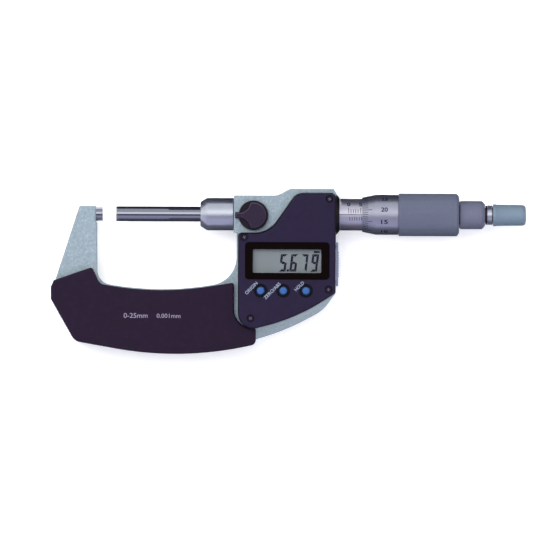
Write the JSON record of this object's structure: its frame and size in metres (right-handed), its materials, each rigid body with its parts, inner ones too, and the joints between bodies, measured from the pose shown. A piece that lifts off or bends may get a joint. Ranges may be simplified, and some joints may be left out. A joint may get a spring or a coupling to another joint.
{
  "type": "outside micrometer",
  "caption": "Digital outside micrometer with a C-shaped frame, side grips, a display head and a screw-driven spindle with thimble and ratchet knob.",
  "frame": {"origin": "centre of the anvil's measuring face", "axes": "+X along the spindle from the anvil to the ratchet knob, +Y up away from the bow, +Z out of the display"},
  "size_m": [0.2017, 0.07, 0.0213],
  "materials": {
    "frame_paint": "hammered",
    "grip_plastic": "matte",
    "cover_plastic": "satin",
    "bezel_glass": "gloss",
    "display": "satin",
    "bright_steel": "ground",
    "hard_metal": "lapped",
    "satin_chrome": "satin",
    "grey_anodised": "knurled",
    "dark_screw": "blackened",
    "black_rubber": "matte",
    "blue_rubber": "matte",
    "lever_plastic": "gloss",
    "port_grey": "matte",
    "white_plastic": "matte",
    "board": "satin",
    "brass": "satin"
  },
  "bodies": {
    "frame": {"frame": "frame_paint", "anvil": "bright_steel", "anvil_tip": "hard_metal", "front_grip": "grip_plastic", "rear_grip": "grip_plastic", "front_cover": "cover_plastic", "cover_gasket": "black_rubber", "display_window": "bezel_glass", "lcd_panel": "display", "lcd_holder": "white_plastic", "circuit_board": "board", "button_pad": "black_rubber", "cover_screw_1": "dark_screw", "cover_screw_2": "dark_screw", "cover_screw_3": "dark_screw", "cover_screw_4": "dark_screw", "battery": "bright_steel", "battery_contact": "brass", "data_connector": "black_rubber", "port_cover": "port_grey", "port_screw_1": "dark_screw", "port_screw_2": "dark_screw", "spindle_guide": "bright_steel", "wiper_seal": "black_rubber", "encoder_stator": "board", "inner_sleeve": "bright_steel", "adjusting_nut": "bright_steel", "scale_sleeve": "satin_chrome", "sleeve_collar": "cover_plastic"},
    "rotor": {"rotor_bush": "brass", "rotor_key": "dark_screw", "encoder_rotor": "board"},
    "spindle": {"spindle": "bright_steel", "spindle_tip": "hard_metal", "thimble": "satin_chrome", "thimble_grip": "grey_anodised", "ratchet_housing": "grey_anodised", "ratchet_ring": "bright_steel", "ratchet_screw": "dark_screw"},
    "ratchet": {"ratchet_knob": "grey_anodised", "neck_ring": "bright_steel", "knob_cap": "grey_anodised", "ratchet_spring": "bright_steel"},
    "lock": {"lock_lever": "lever_plastic", "lock_stud": "dark_screw"},
    "left_button": {"button_left": "blue_rubber"},
    "middle_button": {"button_middle": "blue_rubber"},
    "right_button": {"button_right": "blue_rubber"},
    "battery_cover": {"battery_cap": "satin_chrome", "battery_cap_seal": "black_rubber"}
  },
  "joints": [
    {"name": "thimble_spin", "type": "hinge", "parent": "frame", "child": "rotor", "pos_m": [0, 0, 0], "axis": [1, 0, 0], "range_deg": [-4088.16, 13911.1]},
    {"name": "spindle_travel", "type": "slide", "parent": "rotor", "child": "spindle", "axis": [1, 0, 0], "range_m": [-0.00568, 0.01932]},
    {"name": "ratchet_slip", "type": "hinge", "parent": "spindle", "child": "ratchet", "pos_m": [0.17, 0, 0], "axis": [1, 0, 0], "continuous": true},
    {"name": "lock_lever_turn", "type": "hinge", "parent": "frame", "child": "lock", "pos_m": [0.064, -0.0004, 0.009], "axis": [0, 0, -1], "range_deg": [0, 70]},
    {"name": "left_button_press", "type": "slide", "parent": "frame", "child": "left_button", "axis": [0, 0, -1], "range_m": [0, 0.0005], "stiffness_N_per_m": 200},
    {"name": "middle_button_press", "type": "slide", "parent": "frame", "child": "middle_button", "axis": [0, 0, -1], "range_m": [0, 0.0005], "stiffness_N_per_m": 200},
    {"name": "right_button_press", "type": "slide", "parent": "frame", "child": "right_button", "axis": [0, 0, -1], "range_m": [0, 0.0005], "stiffness_N_per_m": 200},
    {"name": "battery_cover_turn", "type": "hinge", "parent": "frame", "child": "battery_cover", "pos_m": [0.08, -0.0235, -0.0095], "axis": [0, 0, 1], "range_deg": [0, 90]}
  ],
  "couplings": [
    {"joint": "spindle_travel", "follows": "thimble_spin", "m_per_rad": 0.000079577}
  ]
}
